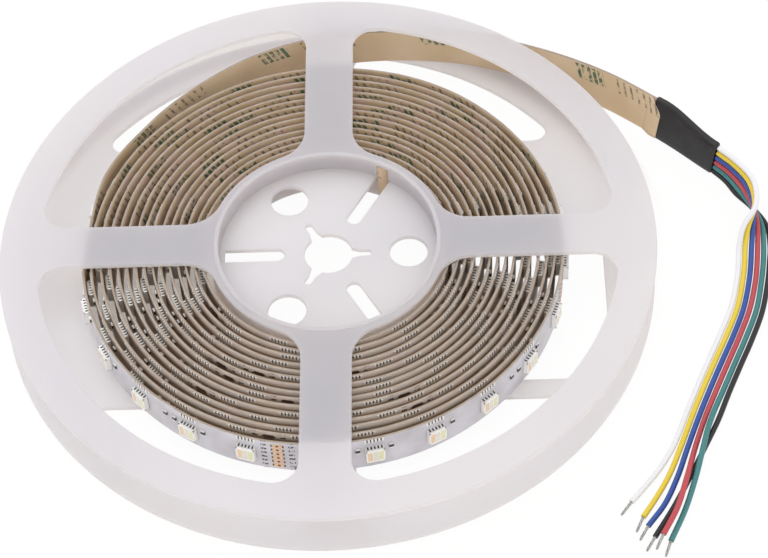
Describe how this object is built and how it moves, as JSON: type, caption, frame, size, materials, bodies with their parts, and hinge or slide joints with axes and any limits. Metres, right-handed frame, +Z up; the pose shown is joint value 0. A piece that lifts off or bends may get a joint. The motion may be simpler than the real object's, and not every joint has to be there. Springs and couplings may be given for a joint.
{
  "type": "led strip light reel",
  "caption": "Two-flange plastic reel wound with flexible LED strip light, its free end leading to a short sleeve and a bundle of loose coloured wires.",
  "frame": {"origin": "under the middle of everything but the loose wires, on the surface that the reel lies on", "axes": "+Z up along the reel's axis, +X along the upper spoke on the side where the strip's free end leaves"},
  "size_m": [0.211, 0.1823, 0.0159],
  "materials": {
    "reel_plastic": "satin white moulded plastic",
    "strip_laminate": "white circuit laminate with a tan release liner",
    "led_package": "white package with phosphor and clear cells",
    "heat_shrink_black": "satin black heat-shrink sleeve",
    "tinned_copper": "tinned strands",
    "wire_white": "white insulation",
    "wire_yellow": "yellow insulation",
    "wire_blue": "blue insulation",
    "wire_red": "red insulation",
    "wire_green": "green insulation",
    "wire_black": "black insulation"
  },
  "bodies": {
    "root": {"reel_upper_half": "reel_plastic", "reel_lower_half": "reel_plastic", "led_strip": "strip_laminate", "sleeve": "heat_shrink_black", "led_package_1": "led_package", "led_package_2": "led_package", "led_package_3": "led_package", "led_package_4": "led_package", "led_package_5": "led_package", "led_package_6": "led_package", "led_package_7": "led_package", "led_package_8": "led_package", "led_package_9": "led_package", "led_package_10": "led_package", "led_package_11": "led_package", "led_package_12": "led_package", "led_package_13": "led_package", "led_package_14": "led_package", "led_package_15": "led_package", "led_package_16": "led_package", "led_package_17": "led_package", "led_package_18": "led_package", "led_package_19": "led_package", "led_package_20": "led_package", "led_package_21": "led_package", "led_package_22": "led_package", "led_package_23": "led_package", "led_package_24": "led_package", "led_package_25": "led_package", "led_package_26": "led_package", "led_package_27": "led_package", "led_package_28": "led_package", "led_package_29": "led_package", "led_package_30": "led_package", "led_package_31": "led_package", "led_package_32": "led_package", "led_package_33": "led_package", "led_package_34": "led_package", "led_package_35": "led_package", "wire_white": "wire_white", "wire_yellow": "wire_yellow", "wire_blue": "wire_blue", "wire_red": "wire_red", "wire_green": "wire_green", "wire_black": "wire_black", "wire_end_white": "tinned_copper", "wire_end_yellow": "tinned_copper", "wire_end_blue": "tinned_copper", "wire_end_red": "tinned_copper", "wire_end_green": "tinned_copper", "wire_end_black": "tinned_copper"}
  },
  "joints": []
}
